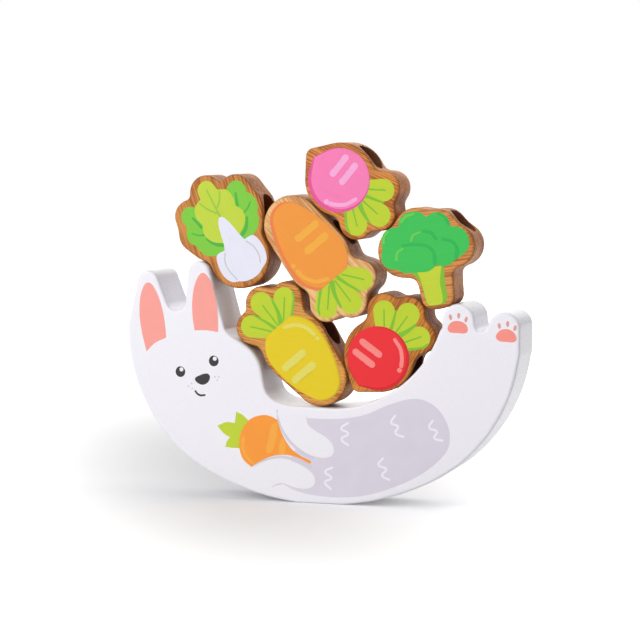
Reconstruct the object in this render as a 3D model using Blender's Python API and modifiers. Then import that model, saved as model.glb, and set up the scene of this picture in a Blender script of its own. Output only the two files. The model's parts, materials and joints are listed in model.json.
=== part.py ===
"""Balance stacking toy: a rocking rabbit board with six vegetable blocks stacked in its cradle.

The toy stands in the XZ plane with its printed front towards -Y.  X = 0 is the middle of the
rabbit, Z = 0 is the flat that it rests on and Y = 0 is the middle of the boards' thickness.
Sizes are in millimetres and the model is built in metres.
"""

import math

import bmesh
import bpy
import numpy as np

MM = 0.001
TOY_NAME = "balance_stacking_toy"

# Boards
RABBIT_THICKNESS = 25.0
RABBIT_EDGE_ROUND = 1.8
BLOCK_THICKNESS = 18.0
BLOCK_EDGE_ROUND = 1.2
BLOCK_SETBACK = 2.0
EDGE_SEGMENTS = 3

# Bare wood round each printed vegetable, lacing bore and gap between stacked pieces
RIM = 2.5
BORE_DIAMETER = 13.5
BORE_SIDES = 28
SEAT_GAP = 0.3
SEAT_ROUNDS = 120

# Rabbit: three arcs underneath, a wide cradle on top between the two horns of its back
ROCKER_RADIUS = 108.0
FLANK_RADIUS = 68.5
RABBIT_LENGTH = 173.0
REST_FLAT = 20.0
CRADLE = ((4.8, 91.2, 50.5), (-10.0, 67.0, 25.7))
BACK_HEIGHT = 88.1
BACK_FALL = 0.209
HORN_FILLET = 3.0
CHEEK_FILLET = 11.0
LIMB_FILLET = 5.0

# Rabbit's head and feet as discs (from the rabbit's near end, height, radius): an ear or a foot
# runs from its root to its tip
LEFT_EAR = ((10.9, 72.0, 10.9), (9.4, 92.6, 4.8))
CROWN = (22.7, 67.5, 12.5)
RIGHT_EAR = ((35.3, 68.0, 10.2), (32.8, 96.6, 5.0))
CHEEK = (48.5, 54.3, 12.0)
LEFT_FOOT = ((25.9, 66.0, 7.2), (26.1, 79.2, 6.9))
HEEL = (16.3, 66.0, 8.0)
RIGHT_FOOT = ((6.9, 66.0, 6.8), (6.8, 76.3, 6.8))

# Leaves that the four root vegetables share: spread, reach from the crown, width
LEAF_SPREAD = 29.0
LEAF_TIP_RADIUS = 4.8
LEAF_ROOT_RADIUS = 3.4
LEAF_ROOT_SHARE = 0.4
MIDDLE_LEAF_EXTRA = 2.8

# Root vegetables: crown radius, distance to the tip, tip radius and reach of the side leaves
RADISH = {"crown": 13.0, "length": 15.2, "tip": 0.9, "leaf": 19.1}
ORANGE_CARROT = {"crown": 12.0, "length": 17.9, "tip": 10.3, "leaf": 19.7}
YELLOW_CARROT = {"crown": 12.5, "length": 17.2, "tip": 9.4, "leaf": 20.6}

# Broccoli: florets as discs (across, up, radius) and the stalk's two sides
BROCCOLI_FLORETS = (
    (-10.7, 0.2, 8.6),
    (-3.9, 7.9, 6.8),
    (5.4, 6.1, 6.4),
    (10.9, -1.3, 6.5),
    (-3.1, -3.0, 7.2),
    (2.8, -1.5, 7.5),
)
STALK_LENGTH = 21.0
STALK_FOOT = (-2.0, 2.7, 2.3)
STALK_TOP = (-1.4, 2.8, 3.6)
STALK_ROOT = -9.0

# Bok choy: one fat stem and its leaf lobes as discs (across, up, radius)
BOK_CHOY_STEM = (1.6, -12.2, 11.2)
BOK_CHOY_LEAVES = (
    (-9.9, 13.3, 4.5),
    (-11.3, 5.3, 5.3),
    (-8.5, -0.7, 5.1),
    (1.5, 18.8, 4.8),
    (13.5, 13.0, 4.6),
    (12.7, 5.2, 6.8),
    (9.6, -0.4, 6.8),
    (0.6, 6.7, 11.0),
)

# Fillets between a vegetable's lobes
VEGETABLE_FILLET = 3.0

# Lacing bores: height of the bore's middle above the figure's origin, and its turn
RADISH_BORE = (2.4, 0.0)
ORANGE_CARROT_BORE = (-3.0, 0.0)
YELLOW_CARROT_BORE = (-3.4, 0.0)
BROCCOLI_BORE = (-5.4, 43.0)
BOK_CHOY_BORE = (0.0, 0.0)

# Each block's photographed lean, anticlockwise from leaves up, about where it lies, and the
# pieces that carry it on its left and on its right
STACK = {
    "yellow_carrot_block": {
        "turn": 40.0, "near": (-11.9, 66.0), "seats": ("rabbit_rocker", "rabbit_rocker")},
    "red_radish_block": {
        "turn": -35.3, "near": (25.2, 62.8), "seats": ("yellow_carrot_block", "rabbit_rocker")},
    "orange_carrot_block": {
        "turn": -140.5, "near": (-0.9, 104.2), "seats": ("yellow_carrot_block", "red_radish_block")},
    "bok_choy_block": {
        "turn": 29.0, "near": (-42.3, 114.0), "seats": ("rabbit_rocker", "orange_carrot_block")},
    "broccoli_block": {
        "turn": 10.9, "near": (45.7, 110.0), "seats": ("red_radish_block", "rabbit_rocker")},
    "pink_radish_block": {
        "turn": -129.8, "near": (9.4, 138.6), "seats": ("orange_carrot_block", "broccoli_block")},
}

# Walking round an outline, and how far its chords may stray from it
APPROACH_ROUNDS = 200
SWEEP_RAYS = 109
WALK_STEP = 0.4
OUTLINE_TOLERANCE = 0.04

# Colours and finish
WHITE_PAINT = ((0.87, 0.87, 0.89), 0.35)
YELLOW_PRINT = ((0.80, 0.58, 0.03), 0.5)
RED_PRINT = ((0.85, 0.04, 0.05), 0.5)
ORANGE_PRINT = ((0.95, 0.30, 0.05), 0.5)
LEAF_PRINT = ((0.55, 0.70, 0.07), 0.5)
GREEN_PRINT = ((0.05, 0.55, 0.12), 0.5)
PINK_PRINT = ((0.95, 0.20, 0.45), 0.5)


# Flat shapes as distance fields over points (n, 2)

def disc(x, z, radius):
    """Field of a disc: distance to its rim, negative inside."""
    return lambda p: np.hypot(p[:, 0] - x, p[:, 1] - z) - radius


def lobe(root, tip):
    """Field of the hull of two discs, each given as (x, z, radius)."""
    start = np.array(root[:2])
    along = np.array(tip[:2]) - start
    length = np.hypot(*along)
    along = along / length
    slope = (root[2] - tip[2]) / length
    level = math.sqrt(1.0 - slope * slope)

    def field(p):
        away = p - start
        up = away @ along
        side = np.abs(away[:, 0] * along[1] - away[:, 1] * along[0])
        zone = level * up - slope * side
        at_root = np.hypot(side, up) - root[2]
        at_tip = np.hypot(side, up - length) - tip[2]
        between = level * side + slope * up - root[2]
        return np.where(zone < 0.0, at_root, np.where(zone > level * length, at_tip, between))

    return field


def join(fields, fillet):
    """Field of several shapes run together with a fillet in each valley."""
    def field(p):
        total = fields[0](p)
        for other in fields[1:]:
            value = other(p)
            overlap = np.maximum(fillet - np.abs(total - value), 0.0)
            total = np.minimum(total, value) - overlap * overlap / (4.0 * fillet)
        return total

    return field


def trimmed(fields, fillet):
    """Field of what several shapes have in common, with its corners rounded."""
    outside = join([lambda p, field=field: -field(p) for field in fields], fillet)
    return lambda p: -outside(p)


def grown(shape, margin):
    """Field of a shape with a margin added all round it."""
    return lambda p: shape(p) - margin


def turned(shape, degrees, place):
    """Field of a shape turned anticlockwise and moved to its place."""
    cosine = math.cos(math.radians(degrees))
    sine = math.sin(math.radians(degrees))
    back = np.array([[cosine, -sine], [sine, cosine]])
    return lambda p: shape((p - place) @ back)


def slope_of(shape, p):
    """Unit direction in which a field grows at one point."""
    reach = 1e-4
    probe = p + reach * np.array([[1.0, 0.0], [-1.0, 0.0], [0.0, 1.0], [0.0, -1.0]])
    value = shape(probe)
    slope = np.array([value[0] - value[1], value[2] - value[3]])
    return slope / np.hypot(*slope)


def fine_outline(shape, inside):
    """Evenly spaced points round a shape, anticlockwise, from a point inside it."""
    point = np.array(inside, float)
    for _ in range(APPROACH_ROUNDS):
        point[0] -= shape(point[None])[0]
    heading = math.pi / 2.0
    sweep = np.radians(np.linspace(-135.0, 135.0, SWEEP_RAYS))
    points = []
    while len(points) < 3 or np.hypot(*(point - points[0])) > 0.75 * WALK_STEP:
        points.append(point)
        angle = heading + sweep
        value = shape(point + WALK_STEP * np.stack([np.cos(angle), np.sin(angle)], axis=1))
        last_out = np.flatnonzero((value[:-1] > 0.0) & (value[1:] <= 0.0))[0]
        share = value[last_out] / (value[last_out] - value[last_out + 1])
        heading = angle[last_out] + share * (angle[last_out + 1] - angle[last_out])
        point = point + WALK_STEP * np.array([math.cos(heading), math.sin(heading)])
    return np.array(points)


def thinned(points):
    """The points that an outline needs: the fewest whose chords keep to the tolerance."""
    closed = np.vstack([points, points[:1]])
    kept = [0]
    for index in range(2, len(closed)):
        start = closed[kept[-1]]
        chord = closed[index] - start
        passed = closed[kept[-1] + 1:index] - start
        stray = np.abs(passed[:, 0] * chord[1] - passed[:, 1] * chord[0]) / np.hypot(*chord)
        if stray.max() > OUTLINE_TOLERANCE:
            kept.append(index - 1)
    return points[kept]


# Outlines of the pieces

def rocker(p):
    """Field of the three tangent arcs under the rabbit, cut by the flat that it rests on."""
    rise = ROCKER_RADIUS - math.sqrt(ROCKER_RADIUS ** 2 - (REST_FLAT / 2.0) ** 2)
    middle = ROCKER_RADIUS - rise
    flank_x = RABBIT_LENGTH / 2.0 - FLANK_RADIUS
    flank_drop = math.sqrt((ROCKER_RADIUS - FLANK_RADIUS) ** 2 - flank_x ** 2)
    x = np.abs(p[:, 0])
    below = middle - p[:, 1]
    underneath = np.hypot(x, below) - ROCKER_RADIUS
    flank = np.hypot(x - flank_x, below - flank_drop) - FLANK_RADIUS
    arcs = np.where(x * flank_drop < flank_x * below, underneath, flank)
    return np.maximum(arcs, -p[:, 1])


def back(p):
    """Field of the space under the rabbit's back, which falls away to both ends."""
    return p[:, 1] - BACK_HEIGHT + BACK_FALL * np.abs(p[:, 0])


def crescent():
    """Field of the rabbit's body: the rocker less its cradle, up to its back."""
    cradle = lobe(*CRADLE)
    return trimmed([rocker, lambda p: -cradle(p), back], HORN_FILLET)


def at_head(spot):
    """A disc measured from the rabbit's left end."""
    return (spot[0] - RABBIT_LENGTH / 2.0, *spot[1:])


def at_feet(spot):
    """A disc measured from the rabbit's right end."""
    return (RABBIT_LENGTH / 2.0 - spot[0], *spot[1:])


def rabbit():
    """Field of the whole rabbit board: its body, two ears with the crown between them, and two feet."""
    cheek = disc(*at_head(CHEEK))
    body = join([crescent(), cheek], CHEEK_FILLET)
    ears = [lobe(*map(at_head, ear)) for ear in (LEFT_EAR, RIGHT_EAR)]
    head = join([ears[0], disc(*at_head(CROWN)), ears[1], cheek], LIMB_FILLET)
    toes = [lobe(*map(at_feet, foot)) for foot in (LEFT_FOOT, RIGHT_FOOT)]
    feet = join([toes[0], disc(*at_feet(HEEL)), toes[1]], LIMB_FILLET)
    return lambda p: np.minimum(body(p), np.minimum(head(p), feet(p)))


def root_vegetable(sizes):
    """Figure of a radish or carrot, leaves up, with its crown's centre at the origin."""
    fields = [lobe((0.0, 0.0, sizes["crown"]), (0.0, -sizes["length"], sizes["tip"]))]
    for side in (-1, 0, 1):
        reach = sizes["leaf"]
        if side == 0:
            reach += MIDDLE_LEAF_EXTRA
        angle = math.radians(90.0 - side * LEAF_SPREAD)
        way = np.array([math.cos(angle), math.sin(angle)])
        root = (*(LEAF_ROOT_SHARE * reach * way), LEAF_ROOT_RADIUS)
        tip = (*(reach * way), LEAF_TIP_RADIUS)
        fields.append(lobe(root, tip))
    return join(fields, VEGETABLE_FILLET)


def broccoli():
    """Figure of a head of broccoli, stalk down."""
    fields = [disc(*floret) for floret in BROCCOLI_FLORETS]
    for side in (0, 1):
        root = (STALK_TOP[side], STALK_ROOT, STALK_TOP[2])
        foot = (STALK_FOOT[side], -STALK_LENGTH, STALK_FOOT[2])
        fields.append(lobe(root, foot))
    return join(fields, VEGETABLE_FILLET)


def bok_choy():
    """Figure of a bok choy, stem down."""
    return join([disc(*BOK_CHOY_STEM)] + [disc(*leaf) for leaf in BOK_CHOY_LEAVES], VEGETABLE_FILLET)


def seated(shape, turn, near, placed, seats):
    """Where a block lies: SEAT_GAP from the pieces that carry it on its left and on its right."""
    points = fine_outline(turned(shape, turn, np.zeros(2)), (0.0, 0.0))
    sides = (points[points[:, 0] < 0.0], points[points[:, 0] >= 0.0])
    contacts = [(placed[seat], side, True) for seat, side in zip(seats, sides)]
    contacts += [(other, points, False) for other in placed.values()]
    place = np.array(near)
    for settling in (True, False):
        for _ in range(SEAT_ROUNDS):
            for other, edge, carries in contacts:
                gap = other(edge + place)
                closest = np.argmin(gap)
                short = SEAT_GAP - gap[closest]
                if short > 0.0 or (carries and settling):
                    place = place + short * slope_of(other, edge[closest] + place)
    return place


# Blender objects

def collection(name):
    """A new collection in the scene."""
    made = bpy.data.collections.new(name)
    bpy.context.scene.collection.children.link(made)
    return made


def finish(name, colour_and_roughness):
    """A plain painted or printed surface."""
    colour, roughness = colour_and_roughness
    material = bpy.data.materials.new(name)
    material.use_nodes = True
    shader = material.node_tree.nodes["Principled BSDF"]
    shader.inputs["Base Color"].default_value = (*colour, 1.0)
    shader.inputs["Roughness"].default_value = roughness
    shader.inputs["Metallic"].default_value = 0.0
    material.diffuse_color = (*colour, 1.0)
    return material


def board(name, points, thickness, edge_round, material, parts):
    """A board sawn to an outline, standing upright, with its edges rounded over."""
    curve = bpy.data.curves.new(name + "_outline", "CURVE")
    curve.dimensions = "2D"
    curve.fill_mode = "BOTH"
    curve.extrude = thickness * MM / 2.0
    spline = curve.splines.new("POLY")
    spline.points.add(len(points) - 1)
    for target, (x, z) in zip(spline.points, points):
        target.co = (x * MM, z * MM, 0.0, 1.0)
    spline.use_cyclic_u = True
    drawn = bpy.data.objects.new(name + "_outline", curve)
    bpy.context.scene.collection.objects.link(drawn)
    bpy.context.view_layer.update()
    mesh = bpy.data.meshes.new_from_object(drawn.evaluated_get(bpy.context.evaluated_depsgraph_get()))
    bpy.data.objects.remove(drawn)

    solid = bmesh.new()
    solid.from_mesh(mesh)
    bmesh.ops.remove_doubles(solid, verts=solid.verts, dist=1e-7)
    bmesh.ops.dissolve_limit(solid, angle_limit=math.radians(0.05), verts=solid.verts, edges=solid.edges)
    bmesh.ops.recalc_face_normals(solid, faces=solid.faces)
    solid.to_mesh(mesh)
    solid.free()
    mesh.materials.append(material)
    mesh.shade_smooth()
    mesh.set_sharp_from_angle(angle=math.radians(35.0))

    piece = bpy.data.objects.new(name, mesh)
    piece.rotation_euler = (math.pi / 2.0, 0.0, 0.0)
    parts.objects.link(piece)
    rounding = piece.modifiers.new("rounded_edges", "BEVEL")
    rounding.width = edge_round * MM
    rounding.segments = EDGE_SEGMENTS
    rounding.limit_method = "ANGLE"
    rounding.angle_limit = math.radians(60.0)
    return piece


def drill(block, points, bore, cutters):
    """A lacing bore right through a block, across it in the plane of the board."""
    up, turn = bore
    reach = np.hypot(*points.T).max() + abs(up) + BORE_DIAMETER
    bpy.ops.mesh.primitive_cylinder_add(
        vertices=BORE_SIDES, radius=BORE_DIAMETER * MM / 2.0, depth=2.0 * reach * MM)
    drill_bit = bpy.context.object
    drill_bit.name = block.name + "_bore"
    for owner in list(drill_bit.users_collection):
        owner.objects.unlink(drill_bit)
    cutters.objects.link(drill_bit)
    drill_bit.parent = block
    drill_bit.location = (0.0, up * MM, 0.0)
    drill_bit.rotation_euler = (0.0, math.pi / 2.0, math.radians(turn))
    drill_bit.hide_render = True
    drill_bit.display_type = "WIRE"
    cut = block.modifiers.new("lacing_bore", "BOOLEAN")
    cut.object = drill_bit
    cut.operation = "DIFFERENCE"


def main():
    for old in list(bpy.data.objects):
        bpy.data.objects.remove(old)
    parts = collection(TOY_NAME)
    cutters = collection(TOY_NAME + "_cutters")

    outline = thinned(fine_outline(rabbit(), (0.0, 20.0)))
    paint = finish("white_paint", WHITE_PAINT)
    board("rabbit_rocker", outline, RABBIT_THICKNESS, RABBIT_EDGE_ROUND, paint, parts)

    blocks = {
        "yellow_carrot_block": (root_vegetable(YELLOW_CARROT), YELLOW_CARROT_BORE, YELLOW_PRINT),
        "red_radish_block": (root_vegetable(RADISH), RADISH_BORE, RED_PRINT),
        "orange_carrot_block": (root_vegetable(ORANGE_CARROT), ORANGE_CARROT_BORE, ORANGE_PRINT),
        "bok_choy_block": (bok_choy(), BOK_CHOY_BORE, LEAF_PRINT),
        "broccoli_block": (broccoli(), BROCCOLI_BORE, GREEN_PRINT),
        "pink_radish_block": (root_vegetable(RADISH), RADISH_BORE, PINK_PRINT),
    }
    placed = {"rabbit_rocker": rabbit()}
    depth = BLOCK_SETBACK + (BLOCK_THICKNESS - RABBIT_THICKNESS) / 2.0
    for name, (figure, bore, colour) in blocks.items():
        wood = grown(figure, RIM)
        turn = STACK[name]["turn"]
        place = seated(wood, turn, STACK[name]["near"], placed, STACK[name]["seats"])
        placed[name] = turned(wood, turn, place)
        material = finish(name.replace("_block", "_print"), colour)
        points = thinned(fine_outline(wood, (0.0, 0.0)))
        block = board(name, points, BLOCK_THICKNESS, BLOCK_EDGE_ROUND, material, parts)
        block.location = (place[0] * MM, depth * MM, place[1] * MM)
        block.rotation_euler = (math.pi / 2.0, -math.radians(turn), 0.0)
        drill(block, points, bore, cutters)


main()
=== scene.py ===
"""Looks of a wooden balance stacking toy: a white rabbit rocker and six printed vegetable blocks."""

import json
import math

import bpy
from mathutils import Matrix, Vector
from mathutils.geometry import interpolate_bezier


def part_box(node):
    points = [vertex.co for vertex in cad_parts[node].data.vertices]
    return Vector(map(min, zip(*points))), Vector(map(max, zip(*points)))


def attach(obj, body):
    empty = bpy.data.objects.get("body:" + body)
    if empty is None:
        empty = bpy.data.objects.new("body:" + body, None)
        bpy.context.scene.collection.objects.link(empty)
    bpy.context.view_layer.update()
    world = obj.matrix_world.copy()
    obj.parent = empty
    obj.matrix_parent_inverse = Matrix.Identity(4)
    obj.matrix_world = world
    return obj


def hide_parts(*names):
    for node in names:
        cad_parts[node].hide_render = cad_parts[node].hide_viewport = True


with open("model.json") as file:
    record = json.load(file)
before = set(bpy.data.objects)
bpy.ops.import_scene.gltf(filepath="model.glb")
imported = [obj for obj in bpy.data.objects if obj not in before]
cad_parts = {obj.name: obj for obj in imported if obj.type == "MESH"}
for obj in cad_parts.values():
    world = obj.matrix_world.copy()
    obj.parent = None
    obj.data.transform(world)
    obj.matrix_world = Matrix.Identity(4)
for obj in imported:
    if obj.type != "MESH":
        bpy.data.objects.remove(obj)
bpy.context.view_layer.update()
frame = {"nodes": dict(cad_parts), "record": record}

MM = 0.001
scene = bpy.context.scene
scene.view_settings.view_transform = "Standard"

# The camera stands to the right of the toy's front and looks slightly down on it
CAMERA_PLACE = Vector((0.2795, -0.8807, 0.1541))
CAMERA_AIM = Vector((0.00077, -0.0125, 0.07797))
CAMERA_LENS = 122.6
SENSOR_WIDTH = 36.0

# Boards: the angle above which an edge stays crisp, and how near two corners are one
CRISP_ANGLE = math.radians(38)
MERGE = 0.002 * MM
# The wall of a lacing bore lies nearer than this to the middle of its board's thickness
BORE_REACH = 6.8 * MM

# Print: how far each film of ink stands above the one below, and how deep its underside lies in the wood
FILM = 0.03 * MM
FILM_ROOT = 0.08 * MM
# Steps of a drawn line between two of its points, round an oval and round the end of a stroke
CURVE_STEPS = 9
ROUND_STEPS = 48
END_STEPS = 8

# Where each drawing's own origin lies on the part in mm, its turn in degrees and how much it is enlarged
DRAWINGS = {
    "rabbit": (5.2, 0.0, 0.0, 1.0),
    "yellow_carrot": (-11.07, 66.24, 40.0, 1.0),
    "red_radish": (25.74, 63.53, -35.3, 1.0),
    "orange_carrot": (-0.92, 103.56, -140.5, 1.025),
    "bok_choy": (-42.3, 113.9, 29.0, 1.0),
    "broccoli": (46.5, 109.6, 10.9, 1.03),
    "pink_radish": (9.5, 136.4, -129.8, 1.0),
}


def node_of(body):
    """The name of the one CAD node that a body carries."""
    return frame["record"]["behaviour"]["bodies"][body][0]


def use(piece):
    """Makes a piece the only selected one, and the active one."""
    bpy.ops.object.select_all(action="DESELECT")
    piece.select_set(True)
    bpy.context.view_layer.objects.active = piece


def link(piece):
    """Puts a new object into the scene and makes it the active one."""
    scene.collection.objects.link(piece)
    use(piece)
    return piece


def weld():
    """Makes one corner of those that share a place on the active piece."""
    bpy.ops.object.mode_set(mode="EDIT")
    bpy.ops.mesh.select_all(action="SELECT")
    bpy.ops.mesh.remove_doubles(threshold=MERGE)
    bpy.ops.object.mode_set(mode="OBJECT")


def apply(piece, kind, **settings):
    """Adds one modifier to a piece and applies it."""
    use(piece)
    modifier = piece.modifiers.new(kind.lower(), kind)
    for name, value in settings.items():
        setattr(modifier, name, value)
    bpy.ops.object.modifier_apply(modifier=modifier.name)


# Materials


def paint_chip(red, green, blue):
    """A colour read as a screen shows it, 0 to 255, as the linear one that a shader takes."""
    linear = []
    for level in (red / 255, green / 255, blue / 255):
        linear.append(level / 12.92 if level <= 0.04045 else ((level + 0.055) / 1.055) ** 2.4)
    return (*linear, 1.0)


def deeper(colour, share):
    """A colour that keeps only a share of its light."""
    return (*(level * share for level in colour[:3]), 1.0)


class Finish:
    """A material in the making: its nodes are added one by one and joined to the shader."""

    def __init__(self, name):
        self.material = bpy.data.materials.new(name)
        self.material.use_nodes = True
        self.tree = self.material.node_tree
        self.shader = self.tree.nodes["Principled BSDF"]
        self.place = self.add("ShaderNodeTexCoord").outputs["Object"]

    def add(self, kind, inputs=(), **settings):
        """One node with its settings; an input is a value, or another node's socket."""
        node = self.tree.nodes.new(kind)
        for name, value in settings.items():
            setattr(node, name, value)
        for name, value in dict(inputs).items():
            self.give(node.inputs[name], value)
        return node

    def give(self, socket, value):
        """Sets a socket, or joins it to another node's output."""
        if isinstance(value, bpy.types.NodeSocket):
            self.tree.links.new(value, socket)
        else:
            socket.default_value = value

    def noise(self, size, detail=4.0, roughness=0.55, turn=0.0, shift=(0, 0, 0)):
        """Cloudy noise whose spots have the given size in mm along X, Y and Z, turned with the board."""
        mapping = self.add("ShaderNodeMapping", {"Vector": self.place}, vector_type="TEXTURE")
        mapping.inputs["Location"].default_value = [value * MM for value in shift]
        mapping.inputs["Rotation"].default_value = (0, -math.radians(turn), 0)
        mapping.inputs["Scale"].default_value = [value * MM for value in size]
        inputs = {"Vector": mapping.outputs[0], "Scale": 1.0, "Detail": detail, "Roughness": roughness}
        return self.add("ShaderNodeTexNoise", inputs).outputs["Fac"]

    def spread(self, value, low, high, to_low=0.0, to_high=1.0, smooth=False):
        """A value from one span stretched over another, and cut off at its ends."""
        inputs = {"Value": value, "From Min": low, "From Max": high, "To Min": to_low, "To Max": to_high}
        kind = "SMOOTHSTEP" if smooth else "LINEAR"
        return self.add("ShaderNodeMapRange", inputs, interpolation_type=kind).outputs["Result"]

    def sum(self, operation, first, second):
        """One step of arithmetic on two values."""
        node = self.add("ShaderNodeMath", operation=operation)
        self.give(node.inputs[0], first)
        self.give(node.inputs[1], second)
        return node.outputs[0]

    def mix(self, share, first, second):
        """Two colours mixed by a share from 0 to 1."""
        node = self.add("ShaderNodeMix", data_type="RGBA")
        # The node's sockets for colours come after those for numbers
        self.give(node.inputs[0], share)
        self.give(node.inputs[6], first)
        self.give(node.inputs[7], second)
        return node.outputs[2]

    def coat(self, colour, roughness):
        """Gives the shader its colour and its roughness."""
        self.give(self.shader.inputs["Base Color"], colour)
        self.give(self.shader.inputs["Roughness"], roughness)

    def bump(self, height, depth, strength):
        """Raises the surface by a height of 0 to 1 times the depth in mm."""
        inputs = {"Height": height, "Distance": depth * MM, "Strength": strength}
        self.give(self.shader.inputs["Normal"], self.add("ShaderNodeBump", inputs).outputs[0])


# Each block's wood: the lean of its grain in degrees, its pale wood and its dark rings
TIMBER = {
    "yellow_carrot": (82, (233, 167, 84), (173, 102, 39)),
    "orange_carrot": (43, (248, 197, 133), (200, 134, 77)),
    "pink_radish": (65, (232, 152, 72), (163, 88, 30)),
    "red_radish": (-30, (217, 140, 52), (150, 78, 20)),
    "bok_choy": (20, (219, 146, 72), (163, 94, 36)),
    "broccoli": (98, (228, 153, 80), (172, 101, 45)),
}
BEECH_PORE = paint_chip(104, 57, 25)
# The dark brown painted in as shade on the sawn sides, the rounded edges and the bore walls
BEECH_SHADE = paint_chip(110, 54, 14)
# Sizes in mm of the wood's marks, across, through and along the grain
RINGS = (0.5, 0.9, 34)
CLOUDS = (9, 9, 30)
FLECKS = (0.22, 0.22, 2.2)
BORE_RINGS = (0.5, 6, 6)
BORE_STAINS = (5, 5, 5)
# How far apart in the plank the blocks were sawn, for each mm between them on the toy
SAWN_APART = (3, 2)
# How much of the wood's tone the rings make, and how strongly pores and the painted edge shade show in it
RING_SHARE = 0.6
PORE_SHARE = 0.45
EDGE_SHADE_SHARE = 0.55


def oiled_beech(body):
    """Oiled beech: close rings along the board, broad clouds, short dark flecks, and sawn sides and
    rounded edges with painted shade.
    """
    turn, pale, ring = TIMBER[body]
    x, y = DRAWINGS[body][:2]
    shift = (x * SAWN_APART[0], 0, y * SAWN_APART[1])
    beech = Finish(body + "_beech")
    rings = beech.noise(RINGS, detail=3, roughness=0.5, turn=turn, shift=shift)
    cloud = beech.noise(CLOUDS, detail=2, turn=turn, shift=shift)
    fleck = beech.noise(FLECKS, detail=3, roughness=0.7, turn=turn, shift=shift)
    by_rings = beech.sum("MULTIPLY", rings, RING_SHARE)
    by_cloud = beech.sum("MULTIPLY", cloud, 1 - RING_SHARE)
    tone = beech.sum("ADD", by_rings, by_cloud)
    wood = beech.mix(beech.spread(tone, 0.4, 0.6, smooth=True), paint_chip(*ring), paint_chip(*pale))
    pores = beech.spread(fleck, 0.56, 0.68, smooth=True)
    wood = beech.mix(beech.sum("MULTIPLY", pores, PORE_SHARE), wood, BEECH_PORE)
    # Painted shade: the sawn sides are darkened towards the dark brown, more in some places than in others
    normal = beech.add("ShaderNodeNewGeometry").outputs["Normal"]
    facing = beech.add("ShaderNodeSeparateXYZ", {"Vector": normal}).outputs["Y"]
    flat = beech.sum("ABSOLUTE", facing, 0.0)
    on_side = beech.spread(flat, 0.3, 0.95, 1.0, 0.0, smooth=True)
    side_shade = beech.sum("MULTIPLY", on_side, beech.spread(cloud, 0.35, 0.65, 0.4, 0.1))
    wood = beech.mix(side_shade, wood, BEECH_SHADE)
    # Painted shade: the rounded edges are darkened towards the dark brown
    edge_shade = beech.sum("MULTIPLY", beech.spread(flat, 0.1, 0.4, smooth=True), on_side)
    wood = beech.mix(beech.sum("MULTIPLY", edge_shade, EDGE_SHADE_SHARE), wood, BEECH_SHADE)
    beech.coat(wood, beech.spread(tone, 0.3, 0.7, 0.62, 0.48))
    beech.shader.inputs["Specular IOR Level"].default_value = 0.3
    beech.bump(beech.sum("SUBTRACT", beech.sum("MULTIPLY", rings, 0.5), pores), 0.05, 0.5)
    return beech.material


def bored_beech(body):
    """The wall of a lacing bore: beech painted dark as the shade inside the bore, with fine rings round
    it.
    """
    dark_ring = paint_chip(*TIMBER[body][2])
    bore = Finish(body + "_bore")
    ring = bore.noise(BORE_RINGS, detail=3, turn=DRAWINGS[body][2])
    stain = bore.noise(BORE_STAINS, detail=3)
    # Painted shade: the bore's wall is mixed from the dark brown of the shade and the pore colour
    wood = bore.mix(bore.spread(ring, 0.35, 0.65), BEECH_SHADE, BEECH_PORE)
    wood = bore.mix(bore.spread(stain, 0.45, 0.75, 0.0, 0.5), wood, dark_ring)
    bore.coat(wood, bore.spread(ring, 0.3, 0.7, 0.75, 0.6))
    bore.bump(ring, 0.05, 0.4)
    return bore.material


# The rabbit's white paint in the hollows and on the humps of its peel, whose size is in mm
COAT_LOW = paint_chip(242, 240, 247)
COAT_HIGH = paint_chip(243, 241, 248)
PEEL = (0.6, 0.6, 0.6)


def white_paint():
    """Satin white paint: a smooth film with the fine orange peel of a spray gun in its tone and sheen."""
    paint = Finish("white_paint")
    peel = paint.noise(PEEL, detail=2)
    coat = paint.mix(paint.spread(peel, 0.3, 0.7), COAT_LOW, COAT_HIGH)
    paint.coat(coat, paint.spread(peel, 0.3, 0.7, 0.27, 0.29))
    paint.bump(peel, 0.006, 0.05)
    return paint.material


# The colours of the print
INKS = {
    "ear_pink": (254, 164, 154),
    "pad_pink": (255, 150, 138),
    "toe_pink": (232, 162, 156),
    "tummy_lilac": (223, 217, 230),
    "shade_lilac": (218, 213, 225),
    "soft_black": (38, 34, 36),
    "whisker_grey": (214, 212, 218),
    "carrot_orange": (255, 157, 52),
    "carrot_orange_light": (255, 174, 66),
    "leaf_lime": (195, 215, 48),
    "leaf_green": (128, 196, 50),
    "yellow": (236, 208, 28),
    "yellow_light": (232, 222, 104),
    "yellow_dark": (222, 184, 28),
    "orange": (247, 156, 60),
    "orange_light": (250, 178, 66),
    "orange_dark": (240, 130, 72),
    "red": (242, 44, 52),
    "red_light": (255, 142, 138),
    "red_dark": (218, 32, 46),
    "pink": (254, 130, 187),
    "pink_light": (255, 178, 224),
    "pink_dark": (236, 88, 156),
    "choy_green": (128, 206, 64),
    "choy_shade": (78, 182, 66),
    "choy_lime": (199, 219, 66),
    "choy_vein": (156, 204, 66),
    "choy_white": (238, 238, 253),
    "choy_line": (206, 208, 206),
    "floret_green": (60, 198, 86),
    "floret_shade": (44, 186, 84),
    "floret_light": (108, 210, 84),
    "stalk_lime": (201, 218, 56),
}
# Marks in the ink in mm: its clouds on paint, and the rings and pores of the wood that show through it
INK_CLOUDS = (9, 9, 9)
INK_RINGS = (0.5, 0.9, 20)
INK_FLECKS = (0.3, 0.3, 0.8)
# How much of its light the ink keeps where it is thin and over a pore, and how strongly the pores show
INK_THIN = 0.97
INK_PORE = 0.66
INK_PORE_SHARE = 0.25


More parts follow.
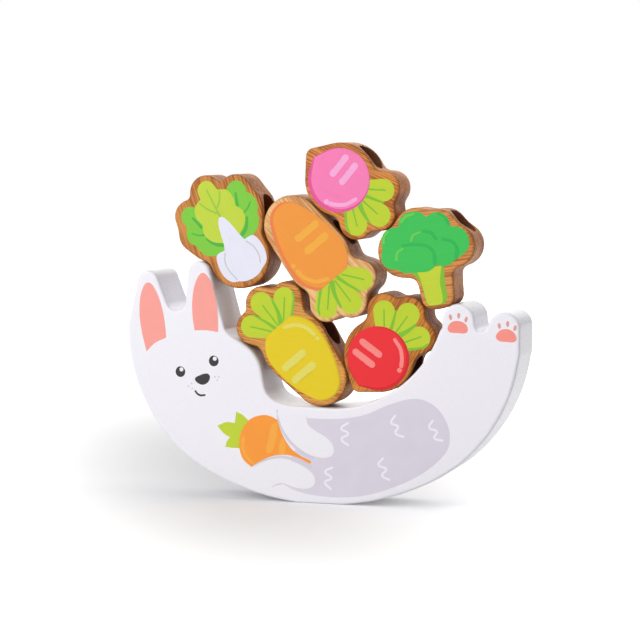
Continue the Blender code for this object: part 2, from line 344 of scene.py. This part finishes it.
def painted_ink(name):
    """Ink on the rabbit's white paint: a smooth satin film."""
    colour = paint_chip(*INKS[name])
    ink_film = Finish("rabbit_" + name)
    cloud = ink_film.noise(INK_CLOUDS, detail=2)
    tint = ink_film.mix(ink_film.spread(cloud, 0.35, 0.65), deeper(colour, INK_THIN), colour)
    ink_film.coat(tint, ink_film.spread(cloud, 0.3, 0.7, 0.36, 0.44))
    ink_film.shader.inputs["Specular IOR Level"].default_value = 0.3
    ink_film.bump(ink_film.noise(PEEL, detail=2), 0.01, 0.2)
    return ink_film.material


def wooden_ink(name, body):
    """Ink on a block's bare wood: a thin film through which the rings and pores below it show."""
    turn = TIMBER[body][0]
    colour = paint_chip(*INKS[name])
    ink_film = Finish(body + "_" + name)
    rings = ink_film.noise(INK_RINGS, detail=3, turn=turn)
    fleck = ink_film.noise(INK_FLECKS, detail=3, roughness=0.7, turn=turn)
    tint = ink_film.mix(ink_film.spread(rings, 0.36, 0.62), deeper(colour, INK_THIN), colour)
    pores = ink_film.spread(fleck, 0.6, 0.74, smooth=True)
    tint = ink_film.mix(ink_film.sum("MULTIPLY", pores, INK_PORE_SHARE), tint, deeper(colour, INK_PORE))
    ink_film.coat(tint, ink_film.spread(rings, 0.3, 0.7, 0.56, 0.47))
    ink_film.shader.inputs["Specular IOR Level"].default_value = 0.25
    ink_film.bump(ink_film.sum("SUBTRACT", ink_film.sum("MULTIPLY", rings, 0.3), pores), 0.03, 0.2)
    return ink_film.material


# The print's materials by their colour and body, kept as they are made
PRINTS = {}


def ink(name, body):
    """The print's material of one colour on one body, made when it is first asked for."""
    if (name, body) not in PRINTS:
        PRINTS[name, body] = painted_ink(name) if body == "rabbit" else wooden_ink(name, body)
    return PRINTS[name, body]


# Boards


def board(name, body, finishes):
    """A board of the toy: its CAD solid merged into one skin, with flat faces and smooth rounded edges."""
    node = node_of(body)
    piece = link(bpy.data.objects.new(name, frame["nodes"][node].data.copy()))
    weld()
    bpy.ops.object.shade_smooth_by_angle(angle=CRISP_ANGLE)
    apply(piece, "WEIGHTED_NORMAL", keep_sharp=True)
    piece.data.materials.clear()
    for finish in finishes:
        piece.data.materials.append(finish)
    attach(piece, body)
    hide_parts(node)
    return piece


def wooden_block(body):
    """A vegetable's bare block, the wall of its lacing bore in a finish of its own."""
    piece = board(body + "_board", body, [oiled_beech(body), bored_beech(body)])
    low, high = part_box(node_of(body))
    middle = (low.y + high.y) / 2
    for face in piece.data.polygons:
        reach = max(abs(piece.data.vertices[corner].co.y - middle) for corner in face.vertices)
        face.material_index = 1 if reach < BORE_REACH else 0


# Drawing: outlines are lists of points in mm, x to the right and y up on the printed face, and a stroke's
# widths at its start and at its tip are in mm too


def flow(points, closed=True):
    """Points along a smooth line through the given ones; a third value marks a corner."""
    knots = [Vector(point[:2]) for point in points]
    corner = [len(point) == 3 for point in points]
    count = len(knots)
    ways = []
    for index, knot in enumerate(knots):
        before = knots[index - 1] if closed or index else knot
        after = knots[(index + 1) % count] if closed or index < count - 1 else knot
        ways.append((after - before).normalized())
    line = []
    for index in range(count if closed else count - 1):
        following = (index + 1) % count
        start, end = knots[index], knots[following]
        reach = (end - start).length / 3
        leave = start + (end - start) / 3 if corner[index] else start + ways[index] * reach
        arrive = end + (start - end) / 3 if corner[following] else end - ways[following] * reach
        line += interpolate_bezier(start, leave, arrive, end, CURVE_STEPS)[:-1]
    return line if closed else line + [knots[-1]]


def round_end(centre, start):
    """The half circle that closes a stroke, clockwise from a point on its edge."""
    turns = [math.pi * step / END_STEPS for step in range(1, END_STEPS)]
    return [centre + Matrix.Rotation(-turn, 2) @ (start - centre) for turn in turns]


def stroke(points, width, tip=None):
    """A pen stroke along a smooth line, with round ends; it may taper to another width at its tip."""
    line = flow(points, closed=False)
    last = len(line) - 1
    tip = width if tip is None else tip
    left, right = [], []
    for index, point in enumerate(line):
        way = (line[min(index + 1, last)] - line[max(index - 1, 0)]).normalized()
        half = (width + (tip - width) * index / last) / 2
        left.append(point + Vector((-way.y, way.x)) * half)
        right.append(point - Vector((-way.y, way.x)) * half)
    return left + round_end(line[-1], left[-1]) + right[::-1] + round_end(line[0], right[0])


def oval(x, y, across, up=None, turn=0.0):
    """An oval by its middle and its two half-widths, turned in degrees; one half-width makes a disc."""
    up = across if up is None else up
    tilt = Matrix.Rotation(math.radians(turn), 2)
    angles = [2 * math.pi * step / ROUND_STEPS for step in range(ROUND_STEPS)]
    return [Vector((x, y)) + tilt @ Vector((across * math.cos(a), up * math.sin(a))) for a in angles]


def arc(x, y, across, up, first, last):
    """Points along part of an oval, from one angle to another."""
    angles = [first + (last - first) * step / ROUND_STEPS for step in range(ROUND_STEPS + 1)]
    return [Vector((x + across * math.cos(angle), y + up * math.sin(angle))) for angle in angles]


def drop(crown, tip):
    """The outline drawn tightly round two discs, each an x, a y and a radius."""
    way = Vector(tip[:2]) - Vector(crown[:2])
    lean = math.acos((crown[2] - tip[2]) / way.length)
    along = math.atan2(way.y, way.x)
    wide = arc(*crown, crown[2], along + lean, along + 2 * math.pi - lean)
    return wide + arc(*tip, tip[2], along - lean, along + lean)


def egg(x, y, crown, length, tip, cap):
    """An egg on its narrow end: a crown cut level at its cap, an arc down each flank and a tip below."""
    flank = (crown ** 2 + length ** 2 - tip ** 2) / (2 * (crown - tip))
    inset = flank - crown
    lean = math.atan2(length, inset)
    rise = math.asin(cap / crown)
    top = arc(x, y, crown, crown, 0, rise) + arc(x, y, crown, crown, math.pi - rise, math.pi)
    left = arc(x + inset, y, flank, flank, math.pi, math.pi + lean)
    bottom = arc(x, y - length, tip, tip, math.pi + lean, 2 * math.pi - lean)
    right = arc(x - inset, y, flank, flank, -lean, 0)
    return top + left[1:] + bottom[1:] + right[1:-1]


def film(name, body, level, colour, shapes):
    """One colour of a print: its shapes as a thin film on the front of a body's board."""
    x, y, turn, size = DRAWINGS[body]
    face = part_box(node_of(body))[0].y
    drawing = bpy.data.curves.new(name, "CURVE")
    drawing.dimensions = "2D"
    drawing.fill_mode = "FRONT"
    for shape in shapes:
        spline = drawing.splines.new("POLY")
        spline.points.add(len(shape) - 1)
        spline.use_cyclic_u = True
        for point, spot in zip(spline.points, shape):
            point.co = (spot.x * size * MM, spot.y * size * MM, 0, 1)
    link(bpy.data.objects.new(name, drawing))
    bpy.ops.object.convert(target="MESH")
    piece = bpy.context.object
    piece.rotation_euler = (math.pi / 2, -math.radians(turn), 0)
    piece.location = (x * MM, face - level * FILM, y * MM)
    bpy.ops.object.transform_apply(location=True, rotation=True, scale=True)
    weld()
    # The film's thickness goes down through the films below it and into the wood
    apply(piece, "SOLIDIFY", thickness=level * FILM + FILM_ROOT, offset=-1.0)
    piece.data.materials.append(ink(colour, body))
    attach(piece, body)


# The rabbit and what is printed on its front, with the widths of its pens and spots in mm

CURL_PEN = 0.95
MOUTH_PEN = 0.85
EYE = (2.2, 2.3)
EYE_LIGHT = 0.9
WHISKER_SPOT = 0.4
TOE = (0.65, 1.2)


def rabbit():
    """The white rocker with its ears, face, held carrot, arms, tummy and paw pads."""
    coat = white_paint()
    PRINTS["arm_white", "rabbit"] = coat
    board("rabbit_board", "rabbit", [coat])
    film("rabbit_ear_linings", "rabbit", 1, "ear_pink", [
        flow([(-82.1, 92.2), (-85.2, 88), (-86.2, 80), (-85.3, 71.5), (-83, 62.4, 0), (-79, 66.2),
              (-73.9, 68.6, 0), (-74.2, 73), (-75.5, 80.5), (-78.3, 88.3)]),
        flow([(-57.1, 96.8), (-60.3, 92.6), (-61.8, 85), (-61.7, 78), (-60.8, 72.1, 0), (-55.5, 72.3),
              (-50, 71.6, 0), (-50.2, 79.5), (-51.6, 88), (-53.8, 94)]),
    ])
    film("rabbit_tummy", "rabbit", 1, "tummy_lilac", [
        flow([(-10.5, 37, 0), (-10, 36.2, 0), (0, 36.3), (8, 37), (16, 38.9), (26.2, 43.4),
              (36.8, 46.2), (44.6, 44), (50, 38), (52, 31), (50.2, 24), (40.3, 15), (27.4, 8.4),
              (15.6, 4.6), (5, 3.2), (-5.6, 3.4), (-15, 5), (-21.5, 7.8, 0), (-17, 12, 0), (-17, 20),
              (-13, 26)]),
        stroke([(-25.9, 6), (-24, 7.2), (-21.9, 7.7)], 0.3, 0.8),
    ])
    film("rabbit_tummy_curls", "rabbit", 2, "arm_white", [
        stroke([(7.9, 34.9), (5, 32.4), (8, 30.4), (5.1, 28), (8, 25.5)], CURL_PEN),
        stroke([(28.4, 38.8), (26.8, 35.7), (29.7, 34.3), (28.6, 31.5), (32, 30.1)], CURL_PEN),
        stroke([(44.6, 37.3), (43.2, 34.4), (46.4, 32.9), (45.4, 30.1), (48.8, 29.2)], CURL_PEN),
        stroke([(23.2, 20.6), (21.3, 17.8), (24.6, 16.1), (22.9, 13.4), (26, 11.7)], CURL_PEN),
        stroke([(1, 15.7), (-2.1, 13.7), (0.6, 11.3), (-2.2, 9.3), (0.3, 6.6)], CURL_PEN),
    ])
    film("held_carrot_leaves", "rabbit", 1, "leaf_lime", [
        flow([(-50.6, 31.4, 0), (-46.5, 33.1), (-42.6, 32.8, 0), (-42, 37.8, 0), (-39, 36.4),
              (-36.6, 34.4, 0), (-36, 28, 0), (-40.6, 22.1, 0), (-47, 22.4, 0), (-46.2, 24.9),
              (-44.8, 26.6, 0), (-47.6, 28.2)]),
    ])
    film("held_carrot_root", "rabbit", 2, "carrot_orange", [
        flow([(-30, 36.8), (-35.2, 35.1), (-38.7, 31.2), (-40.6, 25.6), (-40.3, 20.8), (-38.5, 17),
              (-34.9, 14.2, 0), (-32, 16.3), (-28, 18.5), (-23.5, 19.9), (-18, 20.1), (-12.8, 18.7),
              (-8.8, 16.9), (-8.5, 17.9), (-12.8, 19.9), (-17, 22.7), (-20, 26.6), (-21.8, 30.2),
              (-23.4, 35, 0), (-26.5, 36.4)]),
    ])
    film("held_carrot_bands", "rabbit", 3, "carrot_orange_light", [
        flow([(-25.9, 32.6), (-24.2, 33.9), (-23.4, 33), (-24.2, 26), (-26.2, 20.9), (-28.3, 20.9),
              (-27.6, 26)]),
        flow([(-21.6, 27.3), (-20.1, 25.6), (-20.1, 20.9), (-22.5, 20.9)]),
        stroke([(-38.8, 26.3), (-39, 22.4), (-37.5, 18.8), (-34.6, 16)], 1.5, 1.0),
    ])
    film("rabbit_arm_shades", "rabbit", 3, "shade_lilac", [
        stroke([(-23.6, 39.2), (-22.9, 35), (-21, 30.3), (-17.5, 25.6), (-13, 22.3), (-8, 19.6)],
               0.5, 1.8),
        stroke([(-34.6, 14.6), (-31, 16.6), (-26.5, 18.4), (-21, 19.2), (-15, 18.1), (-9, 15.8)],
               0.4, 1.6),
    ])
    film("rabbit_arms", "rabbit", 4, "arm_white", [
        flow([(-10.6, 37.2, 0), (-9.6, 33.5), (-6.2, 30.9), (-1.2, 28), (1.6, 24.4), (1.2, 21.2),
              (-1.6, 19.8), (-6, 19.9), (-11.2, 21.7), (-16, 25.2), (-19.8, 29.6), (-22.4, 35),
              (-22.9, 38.4)]),
        flow([(-34.6, 13.9, 0), (-31, 15.9), (-26, 17.8), (-20.5, 18.4), (-14.8, 16.9), (-9.8, 14.4),
              (-6.9, 11.4), (-6.9, 8.2), (-9.6, 6.3), (-14, 6.2), (-18.5, 7.3), (-22.5, 8.6),
              (-29, 10)]),
    ])
    film("rabbit_face", "rabbit", 1, "soft_black", [
        oval(-67.4, 54.1, *EYE),
        oval(-52.1, 59.2, *EYE),
        flow([(-60.7, 51.3), (-58.6, 52.8), (-55.2, 53.7), (-53.9, 52.6), (-54.6, 50.2), (-57, 48.8),
              (-59.6, 49.6)]),
        stroke([(-60.5, 45.9), (-59.7, 44.9), (-58.2, 44.2), (-56.3, 44.4)], MOUTH_PEN),
    ])
    film("rabbit_eye_lights", "rabbit", 2, "arm_white", [
        oval(-66.9, 55.1, EYE_LIGHT),
        oval(-51.6, 60.2, EYE_LIGHT),
    ])
    film("rabbit_whisker_spots", "rabbit", 1, "whisker_grey", [
        oval(x, y, WHISKER_SPOT) for x, y in
        ((-63.8, 47.9), (-62.3, 49.2), (-62, 47.1), (-51.6, 52.4), (-49.8, 52.4), (-50.5, 51))
    ])
    film("rabbit_paw_pads", "rabbit", 1, "pad_pink", [
        flow([(50.8, 75.9), (52.2, 78.3), (55.2, 79.1), (58.2, 78), (59.4, 75.8), (58.6, 74.2),
              (55, 74.1), (51.7, 74.4)]),
        flow([(71.2, 73.2), (72.8, 75.5), (75.6, 76.3), (78.4, 75.2), (79.9, 72.6), (79, 71.1),
              (75.5, 71), (72.2, 71.5)]),
    ])
    film("rabbit_toes", "rabbit", 1, "toe_pink", [
        oval(x, y, *TOE, turn) for x, y, turn in
        ((52, 80.6, 12), (55.5, 81.3, 0), (58.6, 79.8, -12),
         (72.6, 77.5, 10), (76.1, 78.4, 0), (79.2, 76.8, -14))
    ])


# The four root vegetables share one drawing, with their own sizes

# Each leaf is drawn round two discs, at its tip and at its root
YELLOW_LOBES = (
    ((-9.7, 18.6, 4.75), (-3.6, 10, 2.2)),
    ((0.1, 23.3, 4.9), (0, 11, 2.2)),
    ((9.4, 18.6, 4.75), (3.4, 10, 2.2)),
)
ORANGE_LOBES = (
    ((-9.3, 18.1, 4.75), (-3.8, 9.6, 2.4)),
    ((0.1, 22.4, 4.9), (0, 10.5, 2.4)),
    ((9.6, 17.5, 4.8), (3.8, 9.4, 2.4)),
)
RADISH_LOBES = (
    ((-8.7, 16.5, 4.7), (-4.2, 9.2, 2.9)),
    ((0.4, 21.7, 4.9), (0.3, 11, 2.6)),
    ((9.8, 16.6, 4.8), (5.2, 9.4, 2.9)),
)
CARROT_LINES = {
    "veins": [[(-4.2, 11.6), (-10.1, 18.8)], [(-0.1, 11.6), (0, 22.2)], [(3.3, 11.8), (9.8, 18.7)]],
    "left_gap": [(-1.9, 11.4), (-3.4, 16), (-5.8, 21.6)],
    "right_gap": [(1.5, 11.4), (3.5, 15.8), (4.8, 21.6)],
    "fold": [(6.6, 10.2), (12.7, 15.9), (13.9, 18.2)],
    "gloss": [(1.8, 9.1), (6.5, 6.7), (9.3, 2.6), (10.1, -1.4)],
}
RADISH_LINES = {
    "veins": [[(-4.8, 11.2), (-9.2, 17.1)], [(0.4, 12), (0.5, 20.8)], [(6, 11.5), (10.1, 17.4)]],
    "left_gap": [(-1.9, 12), (-3.3, 16), (-4.7, 19.8)],
    "right_gap": [(2.3, 12), (4.2, 16), (5.4, 20.2)],
    "fold": [(8.5, 9.4), (13.3, 14.2), (14.2, 16.6)],
    "gloss": [(1.9, 9.7), (6.1, 8), (9, 5), (10.5, 2.4)],
}
# The pen of each line in mm, at its start and at its tip
ROOT_PENS = {
    "veins": (0.7, 0.6),
    "left_gap": (1.5, 0.7),
    "right_gap": (2.3, 0.9),
    "fold": (1.2, 0.6),
    "gloss": (1.5, 1.7),
}


def root_vegetable(body, lobes, lines, shaded, lit, stripes, dot, inks):
    """A printed root: three leaves behind, the shaded root over them, two pale stripes and its gloss."""
    plain, dark, pale = inks
    wooden_block(body)
    for side, lobe in zip(("left", "middle", "right"), lobes):
        film(body + "_leaf_" + side, body, 1, "leaf_lime", [drop(*lobe)])
    film(body + "_leaf_gaps", body, 2, "leaf_green", [
        stroke(lines[line], *ROOT_PENS[line]) for line in ("left_gap", "right_gap", "fold")
    ])
    film(body + "_leaf_veins", body, 2, "leaf_green", [
        stroke(vein, *ROOT_PENS["veins"]) for vein in lines["veins"]
    ])
    film(body + "_root_shade", body, 3, dark, [shaded])
    film(body + "_root", body, 4, plain, [lit])
    start, end, width, heights = stripes
    film(body + "_stripes", body, 5, pale, [
        *(stroke([(start, height), (end, height)], width) for height in heights),
        stroke(lines["gloss"], *ROOT_PENS["gloss"]),
        oval(*dot),
    ])


def roots():
    """The yellow and the orange carrot, and the red and the pink radish."""
    root_vegetable(
        "yellow_carrot", YELLOW_LOBES, CARROT_LINES,
        shaded=egg(0, 0, 13.2, 18.2, 8.6, 11.2),
        lit=egg(-0.3, 0.1, 12.8, 17.9, 8.3, 11.0),
        stripes=(-9, 1.0, 3.2, (-4.3, -11)),
        dot=(10.2, -3.6, 0.9),
        inks=("yellow", "yellow_dark", "yellow_light"),
    )
    root_vegetable(
        "orange_carrot", ORANGE_LOBES, CARROT_LINES,
        shaded=egg(0, 0, 12.9, 20.0, 7.9, 10.7),
        lit=egg(-0.7, 0.2, 12.1, 19.7, 7.4, 10.4),
        stripes=(-8.3, 1.0, 3.3, (-5.2, -11.7)),
        dot=(10.1, -4.1, 1.0),
        inks=("orange", "orange_dark", "orange_light"),
    )
    root_vegetable(
        "red_radish", RADISH_LOBES, RADISH_LINES,
        shaded=drop((0.6, -1, 13.5), (0.4, -15.2, 0.4)),
        lit=drop((-0.1, -0.9, 12.8), (0.1, -14.8, 0.4)),
        stripes=(-8.8, 0.0, 2.8, (0.6, -4.7)),
        dot=(10.9, 0.5, 1.0),
        inks=("red", "red_dark", "red_light"),
    )
    root_vegetable(
        "pink_radish", RADISH_LOBES, RADISH_LINES,
        shaded=drop((0.6, -1, 13.5), (0.4, -15.2, 0.4)),
        lit=drop((-0.3, -0.9, 12.7), (0.1, -14.8, 0.4)),
        stripes=(-8.5, 0.1, 2.8, (0.6, -4.7)),
        dot=(11, 0.7, 1.1),
        inks=("pink", "pink_dark", "pink_light"),
    )


# The two leafy vegetables


def bok_choy():
    """The bok choy: dark outer leaves, a pale lobed leaf in the middle and a white bulb of stems."""
    body = "bok_choy"
    wooden_block(body)
    film(body + "_left_leaf", body, 1, "choy_green", [
        flow([(-3, -6.4, 0), (-8.3, -6.6), (-12, -4.6), (-13.8, -1.4), (-14.2, 1.2, 0), (-16, 3.6),
              (-16.1, 6.8), (-15, 9.1), (-14, 10.5, 0), (-14.7, 13), (-13.8, 16), (-11.3, 17.6),
              (-8.6, 17.3), (-6.6, 15.4), (-4, 8, 0)]),
    ])
    film(body + "_right_leaf", body, 1, "choy_green", [
        flow([(6, -6.4, 0), (8, 8, 0), (9.4, 15.4), (11.4, 17.1), (14.2, 17.4), (16.5, 16),
              (17.5, 13.1), (17.1, 10.5, 0), (18.5, 8.6), (19.1, 5.6), (18.4, 2.6), (16.8, 0.5, 0),
              (16.4, -1.8), (14.4, -4.7), (11, -6.5)]),
    ])
    film(body + "_leaf_shades", body, 2, "choy_shade", [
        stroke([(-9.9, 12.4), (-8.9, 9.4), (-8.3, 7.2)], 1.0, 1.4),
        stroke([(-8.4, 1.4), (-6.2, -2.2), (-2.8, -4.4)], 1.2, 1.7),
        stroke([(12.4, 12.4), (11.3, 9.6), (10.6, 7.4)], 1.0, 1.4),
        stroke([(11.8, 1), (9.4, -2.6), (5.8, -4.6)], 1.2, 1.7),
        stroke([(-13.3, 6.8), (-11, 4.6), (-8.6, 3.6)], 0.6, 0.8),
        stroke([(16.4, 6), (14, 4.3), (11.6, 3.4)], 0.6, 0.8),
    ])
    film(body + "_middle_leaf", body, 3, "choy_lime", [
        flow([(1.6, 23.8), (4.8, 22), (5.9, 17.7, 0), (9.6, 15.6), (10.6, 11.4), (9.9, 8, 0),
              (11.7, 4.4), (10.4, 0), (6, -3.4, 0), (-3, -3.4, 0), (-6.8, -0.6), (-8.6, 3.6),
              (-7.3, 8, 0), (-8.4, 11.6), (-7, 15.6), (-2.9, 17.7, 0), (-2.1, 21.8)]),
    ])
    film(body + "_middle_vein", body, 4, "choy_vein", [stroke([(1.4, 6.4), (1.6, 19.8)], 0.9, 0.7)])
    film(body + "_side_veins", body, 4, "choy_vein", [
        stroke([(0.7, 9.1), (-2, 12.4), (-4, 16.2)], 0.8, 0.7),
        stroke([(2.3, 11.2), (4.5, 13.2), (6.4, 16.4)], 0.8, 0.7),
    ])
    film(body + "_stems", body, 5, "choy_white", [
        flow([(1.3, 6.9), (-0.6, 5), (-1.9, 0.5), (-2.8, -4), (-3.8, -6.5, 0), (-7.6, -6.6),
              (-8.9, -8.4), (-9.7, -12.5), (-9.2, -16.8), (-7.2, -19.9), (-4.3, -21.1, 0),
              (-1.8, -22.3), (1.8, -22.8), (5.2, -22.3), (7.6, -21, 0), (10.4, -19.4), (12, -16.8),
              (12.5, -12.5), (11.7, -8.4), (10.4, -6.6), (6.4, -6.5, 0), (5.5, -3.4), (4.4, 1.4),
              (3, 5.4)]),
    ])
    film(body + "_stem_lines", body, 6, "choy_line", [
        stroke([(-4.2, -7.6), (-6, -11), (-6.1, -15.2), (-4.8, -19.8)], 0.6, 0.5),
        stroke([(6.8, -7.6), (8.6, -11), (9, -15), (8, -18.6)], 0.6, 0.5),
    ])


def broccoli():
    """The broccoli: a green head of florets with lit and shaded edges, on a pale stalk."""
    body = "broccoli"
    wooden_block(body)
    film(body + "_head", body, 1, "floret_green", [
        flow([(-8, -9.6), (-11.4, -8.9), (-14.2, -7.1, 0), (-17.2, -6.3), (-19.5, -3.6), (-19.5, -0.6),
              (-18.5, 1.5, 0), (-18.3, 5), (-16.8, 8.2), (-13.6, 9.6), (-10.1, 9.7, 0), (-9.3, 12.3),
              (-6.6, 14.3), (-3, 14.7), (0, 13.6), (1.8, 11.6, 0), (4.4, 12.6), (7.2, 12.5),
              (9.6, 10.9), (10.9, 8.4), (11.2, 6.1, 0), (14.2, 5.3), (16.6, 3), (17.6, -0.4),
              (16.6, -3.9), (13.8, -6), (10.4, -7.5, 0), (8, -8.8), (5.4, -9.1), (2.6, -8, 0),
              (1, -9.2), (-1.8, -10.1), (-5, -9.8)]),
    ])
    film(body + "_stalk_shade", body, 2, "leaf_green", [
        flow([(-8.6, -8.6, 0), (-7.2, -10.8), (-5.4, -13.6), (-4.8, -17.4), (-4.4, -21.4),
              (-3.5, -23.5), (0, -24), (3.4, -23.5), (4.5, -21.4), (4.7, -16), (5.4, -8.6, 0)]),
    ])
    film(body + "_stalk", body, 3, "stalk_lime", [
        flow([(-6.2, -8.6, 0), (-5.1, -12.6), (-4.6, -17.4), (-4.2, -21.4), (-3.4, -23.4),
              (-0.4, -23.9), (2, -23.5), (2.7, -21), (2.7, -15), (4.6, -8.6, 0)]),
    ])
    film(body + "_front_florets", body, 4, "floret_green", [
        flow([(-14, -4.6), (-13.2, -0.8), (-9.4, 1.6), (-3.6, 1.7), (2.6, 2.2), (9.6, 0.6), (11.6, -3),
              (10.2, -7.3), (8, -8.8), (5.4, -9.1), (2.6, -8, 0), (1, -9.2), (-1.8, -10.1), (-5, -9.8),
              (-8, -9.5), (-11.4, -8.6)]),
    ])
    film(body + "_floret_shades", body, 5, "floret_shade", [
        stroke([(-10, 1.9), (-4, 1.4), (0.4, -0.2), (2.3, -3.2), (2, -7.4)], 1.0, 1.6),
        stroke([(-0.4, 6.2), (2.6, 4.9), (4.2, 2.2)], 1.0, 1.3),
        stroke([(7, 1.6), (10.4, 0), (11.9, -3), (11, -6.4)], 1.0, 1.5),
        stroke([(7, 11.9), (9.3, 10.2), (10.3, 7.2)], 0.9, 1.2),
    ])
    film(body + "_floret_lights", body, 5, "floret_light", [
        stroke([(-13.5, -3.2), (-12.6, -0.5), (-10.2, 0.7)], 1.1, 0.9),
        stroke([(-6, 3.4), (-4.6, 5.3), (-2, 5.9)], 1.1, 0.9),
        stroke([(-8.6, 11.4), (-6.2, 13.2), (-3, 13.7)], 1.2, 1.0),
        stroke([(-17.5, 4.2), (-16.9, 6.6), (-14.9, 8.5)], 1.0, 0.8),
    ])


# Stage: a white floor that keeps the toy's shadow, soft lamps and the camera

FLOOR_SIZE = 8.0
PAPER_LOW = paint_chip(234, 234, 235)
PAPER_HIGH = paint_chip(237, 237, 238)
PAPER_CLOUDS = (60, 60, 60)
PAPER_ROUGHNESS = 0.9
# The pool of painted shadow, outside which the paper glows: its middle and reach in mm, its turn in
# degrees, and in how many reaches it fades
SHADOW_PLACE = (-67, 62, 0)
SHADOW_REACH = (40, 120, 100)
SHADOW_TURN = 26.3
SHADOW_FADE = 4.8
# Each lamp's place and size in metres and its power in watts; it points at the middle of the toy
LAMPS = {
    "top_softbox": ((0.12, 0.15, 1.05), 1.4, 6.0),
    "front_softbox": ((-0.62, -1.15, 0.62), 1.5, 17.7),
    "back_softbox": ((-0.35, 1.2, 0.6), 1.5, 5.0),
}
LAMP_AIM = Vector((0, 0, 0.07))
WORLD_LIGHT = 0.1
WHITE = (1, 1, 1, 1)


def background_rays(tree):
    """1 for the rays that show the background: those of the camera, of gloss and of glass."""
    rays = tree.nodes.new("ShaderNodeLightPath")
    total = rays.outputs["Is Camera Ray"]
    for kind in ("Is Glossy Ray", "Is Transmission Ray"):
        either = tree.nodes.new("ShaderNodeMath")
        either.operation = "MAXIMUM"
        tree.links.new(total, either.inputs[0])
        tree.links.new(rays.outputs[kind], either.inputs[1])
        total = either.outputs[0]
    return total


def floor():
    """White paper under the toy, which keeps its shadow in a painted pool of shade and glows out into
    white round it.
    """
    bpy.ops.object.select_all(action="DESELECT")
    bpy.ops.mesh.primitive_plane_add(size=FLOOR_SIZE)
    ground = bpy.context.object
    ground.name = "floor"
    paper = Finish("white_paper")
    cloud = paper.noise(PAPER_CLOUDS, detail=2)
    sheet = paper.mix(paper.spread(cloud, 0.3, 0.7), PAPER_LOW, PAPER_HIGH)
    paper.coat(sheet, PAPER_ROUGHNESS)
    paper.shader.inputs["Specular IOR Level"].default_value = 0.1
    # Painted light: outside the pool of shadow the paper glows for the rays that show the background, so
    # the pool is painted as shade
    pool = paper.add("ShaderNodeMapping", {"Vector": paper.place}, vector_type="TEXTURE")
    pool.inputs["Location"].default_value = [value * MM for value in SHADOW_PLACE]
    pool.inputs["Rotation"].default_value = (0, 0, math.radians(SHADOW_TURN))
    pool.inputs["Scale"].default_value = [value * MM for value in SHADOW_REACH]
    away = paper.add("ShaderNodeVectorMath", {0: pool.outputs[0]}, operation="LENGTH").outputs["Value"]
    glow = paper.spread(away, 0.0, SHADOW_FADE, smooth=True)
    seen = background_rays(paper.tree)
    paper.give(paper.shader.inputs["Emission Strength"], paper.sum("MULTIPLY", glow, seen))
    paper.shader.inputs["Emission Color"].default_value = WHITE
    ground.data.materials.append(paper.material)


def studio():
    """A world that is white to look at and lights the toy only a little."""
    scene.world = bpy.data.worlds.new("studio")
    scene.world.use_nodes = True
    tree = scene.world.node_tree
    background = tree.nodes["Background"]
    background.inputs["Color"].default_value = WHITE
    level = tree.nodes.new("ShaderNodeMapRange")
    level.inputs["To Min"].default_value = WORLD_LIGHT
    level.inputs["To Max"].default_value = 1.0
    tree.links.new(background_rays(tree), level.inputs["Value"])
    tree.links.new(level.outputs["Result"], background.inputs["Strength"])


def aimed(place, aim):
    """The turn of a lamp or camera that looks from its place at a point."""
    return (aim - Vector(place)).to_track_quat("-Z", "Y").to_euler()


def lamps():
    """The three softboxes."""
    for name, (place, size, power) in LAMPS.items():
        bpy.ops.object.light_add(type="AREA", location=place)
        lamp = bpy.context.object
        lamp.name = name
        lamp.data.size = size
        lamp.data.energy = power
        lamp.rotation_euler = aimed(place, LAMP_AIM)


def camera():
    """The camera at the place that the photograph was taken from."""
    bpy.ops.object.camera_add(location=CAMERA_PLACE)
    view = bpy.context.object
    view.rotation_euler = aimed(CAMERA_PLACE, CAMERA_AIM)
    view.data.lens = CAMERA_LENS
    view.data.sensor_width = SENSOR_WIDTH
    scene.camera = view


floor()
studio()
lamps()
camera()
rabbit()
roots()
bok_choy()
broccoli()
